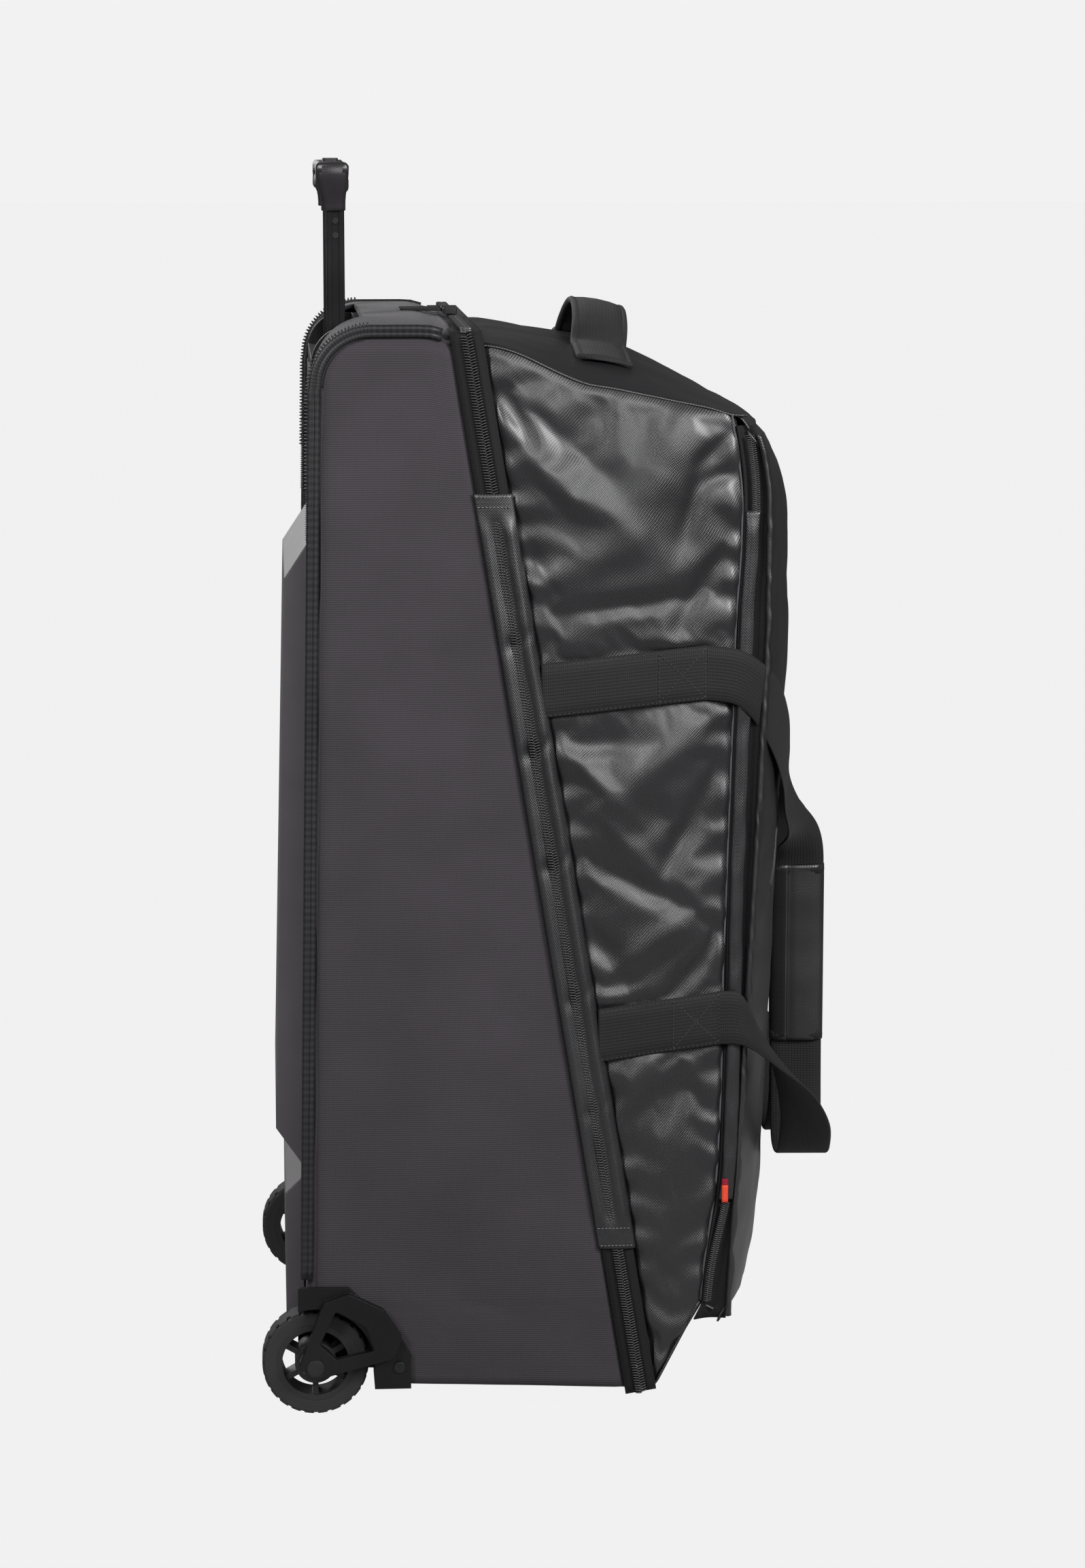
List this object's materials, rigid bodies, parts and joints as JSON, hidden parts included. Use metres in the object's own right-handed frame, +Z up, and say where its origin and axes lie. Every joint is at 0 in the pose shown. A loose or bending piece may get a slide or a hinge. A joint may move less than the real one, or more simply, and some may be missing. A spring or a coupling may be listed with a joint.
{
  "type": "rolling duffel bag",
  "caption": "Tall two-wheeled soft travel duffel with a stiff rear tub, a zipped soft lid, webbing haul loops, a grab handle and a telescoping pull handle.",
  "frame": {"origin": "on the floor, under the middle of the whole bag's box", "axes": "+X out of the front, the lid's side; +Y to the bag's left; +Z up"},
  "size_m": [0.4194, 0.398, 0.8745],
  "materials": {
    "ribbed_cloth": "matte woven, fine horizontal rib",
    "laminate": "semi-gloss laminated cloth with a fine twill",
    "webbing": "ribbed woven webbing",
    "zip_tape": "woven tape with a nylon coil",
    "tag_cloth": "woven tag",
    "piping_rubber": "satin piping",
    "hard_shell": "satin moulded sheet",
    "board": "plain sheet",
    "moulded_plastic": "fine moulded grain",
    "grip_plastic": "satin",
    "tyre_rubber": "matte",
    "tube_metal": "black anodised",
    "steel": "plain",
    "slider_metal": "black"
  },
  "bodies": {
    "bag_body": {"rear_side_right": "ribbed_cloth", "rear_side_left": "ribbed_cloth", "rear_top_panel": "ribbed_cloth", "back_panel": "ribbed_cloth", "bottom_panel": "ribbed_cloth", "back_board": "board", "piping": "piping_rubber", "back_hump_shell": "hard_shell", "skid_plate": "hard_shell", "main_zip_rear_tape": "zip_tape", "storm_flap_right": "laminate", "storm_flap_left": "laminate", "corner_zips": "zip_tape", "wheel_housing_right": "moulded_plastic", "wheel_housing_left": "moulded_plastic", "axle_bolts": "steel", "housing_screws": "steel", "outer_tube_right": "tube_metal", "outer_tube_left": "tube_metal", "handle_tray": "moulded_plastic", "tube_bracket": "moulded_plastic"},
    "lid": {"lid_side_right": "laminate", "lid_side_left": "laminate", "lid_top_panel": "laminate", "lid_front_panel": "laminate", "lid_bottom_panel": "laminate", "main_zip_lid_tape": "zip_tape", "pocket_panel": "laminate", "pocket_side_zips": "zip_tape", "pocket_front_zip": "zip_tape", "sewn_webbing": "webbing", "grab_handle": "webbing", "side_tag": "tag_cloth"},
    "wheel_right": {"tyre_right": "tyre_rubber", "hub_right": "moulded_plastic", "wheel_bearings_right": "steel"},
    "wheel_left": {"tyre_left": "tyre_rubber", "hub_left": "moulded_plastic", "wheel_bearings_left": "steel"},
    "handle_middle": {"middle_tube_right": "tube_metal", "middle_tube_left": "tube_metal"},
    "handle_upper": {"inner_tube_right": "tube_metal", "inner_tube_left": "tube_metal", "grip_lower": "grip_plastic", "grip_upper": "grip_plastic", "grip_rivets": "steel", "button_spring": "steel"},
    "release": {"grip_button": "grip_plastic", "push_rods": "steel"},
    "pin_right": {"lock_pin_right": "steel"},
    "pin_left": {"lock_pin_left": "steel"},
    "zip_slider_right": {"main_slider_right": "slider_metal"},
    "zip_slider_left": {"main_slider_left": "slider_metal"},
    "zip_pull_right": {"main_pull_right": "slider_metal"},
    "zip_pull_left": {"main_pull_left": "slider_metal"},
    "front_slider": {"pocket_slider": "slider_metal"},
    "front_pull": {"pocket_pull": "slider_metal"},
    "haul_handle": {"hand_wrap": "laminate", "haul_loop_right": "webbing", "haul_loop_left": "webbing"}
  },
  "joints": [
    {"name": "wheel_right_spin", "type": "hinge", "parent": "bag_body", "child": "wheel_right", "pos_m": [-0.17225, -0.174, 0.0375], "axis": [0, 1, 0], "continuous": true},
    {"name": "wheel_left_spin", "type": "hinge", "parent": "bag_body", "child": "wheel_left", "pos_m": [-0.17225, 0.174, 0.0375], "axis": [0, 1, 0], "continuous": true},
    {"name": "handle_middle_slide", "type": "slide", "parent": "bag_body", "child": "handle_middle", "axis": [0, 0, 1], "range_m": [0, 0.13]},
    {"name": "handle_upper_slide", "type": "slide", "parent": "handle_middle", "child": "handle_upper", "axis": [0, 0, 1], "range_m": [-0.1, 0.1]},
    {"name": "button_press", "type": "slide", "parent": "handle_upper", "child": "release", "axis": [0, 0, 1], "range_m": [-0.004, 0], "stiffness_N_per_m": 900, "springref_m": 0.004, "deforming": ["button_spring"]},
    {"name": "pin_right_retract", "type": "slide", "parent": "handle_upper", "child": "pin_right", "axis": [0, 1, 0], "range_m": [-0.0012, 0]},
    {"name": "pin_left_retract", "type": "slide", "parent": "handle_upper", "child": "pin_left", "axis": [0, -1, 0], "range_m": [-0.0012, 0]},
    {"name": "lid_open", "type": "hinge", "parent": "bag_body", "child": "lid", "pos_m": [0.05975, 0, 0], "axis": [0, 1, 0], "range_deg": [0, 95]},
    {"name": "haul_handle_lift", "type": "slide", "parent": "lid", "child": "haul_handle", "axis": [1, 0, 0], "range_m": [0, 0.04], "stiffness_N_per_m": 60},
    {"name": "main_slider_right_run", "type": "slide", "parent": "bag_body", "child": "zip_slider_right", "axis": [0, -1, 0], "range_m": [0, 0.1485]},
    {"name": "main_slider_left_run", "type": "slide", "parent": "bag_body", "child": "zip_slider_left", "axis": [0, 1, 0], "range_m": [0, 0.1485]},
    {"name": "main_pull_right_swing", "type": "hinge", "parent": "zip_slider_right", "child": "zip_pull_right", "pos_m": [-0.07365, -0.014, 0.7673], "axis": [0, 1, 0], "range_deg": [0, 100]},
    {"name": "main_pull_left_swing", "type": "hinge", "parent": "zip_slider_left", "child": "zip_pull_left", "pos_m": [-0.07365, 0.014, 0.7673], "axis": [0, 1, 0], "range_deg": [0, 100]},
    {"name": "pocket_slider_run", "type": "hinge", "parent": "lid", "child": "front_slider", "pos_m": [0.17169, 0, 0.2053], "axis": [1, 0, 0], "range_deg": [-12, 12]},
    {"name": "pocket_pull_swing", "type": "hinge", "parent": "front_slider", "child": "front_pull", "pos_m": [0.17369, 0, 0.4053], "axis": [0, -1, 0], "range_deg": [0, 90]}
  ],
  "couplings": [
    {"joint": "pin_right_retract", "follows": "button_press", "ratio": 0.3},
    {"joint": "pin_left_retract", "follows": "button_press", "ratio": 0.3}
  ]
}
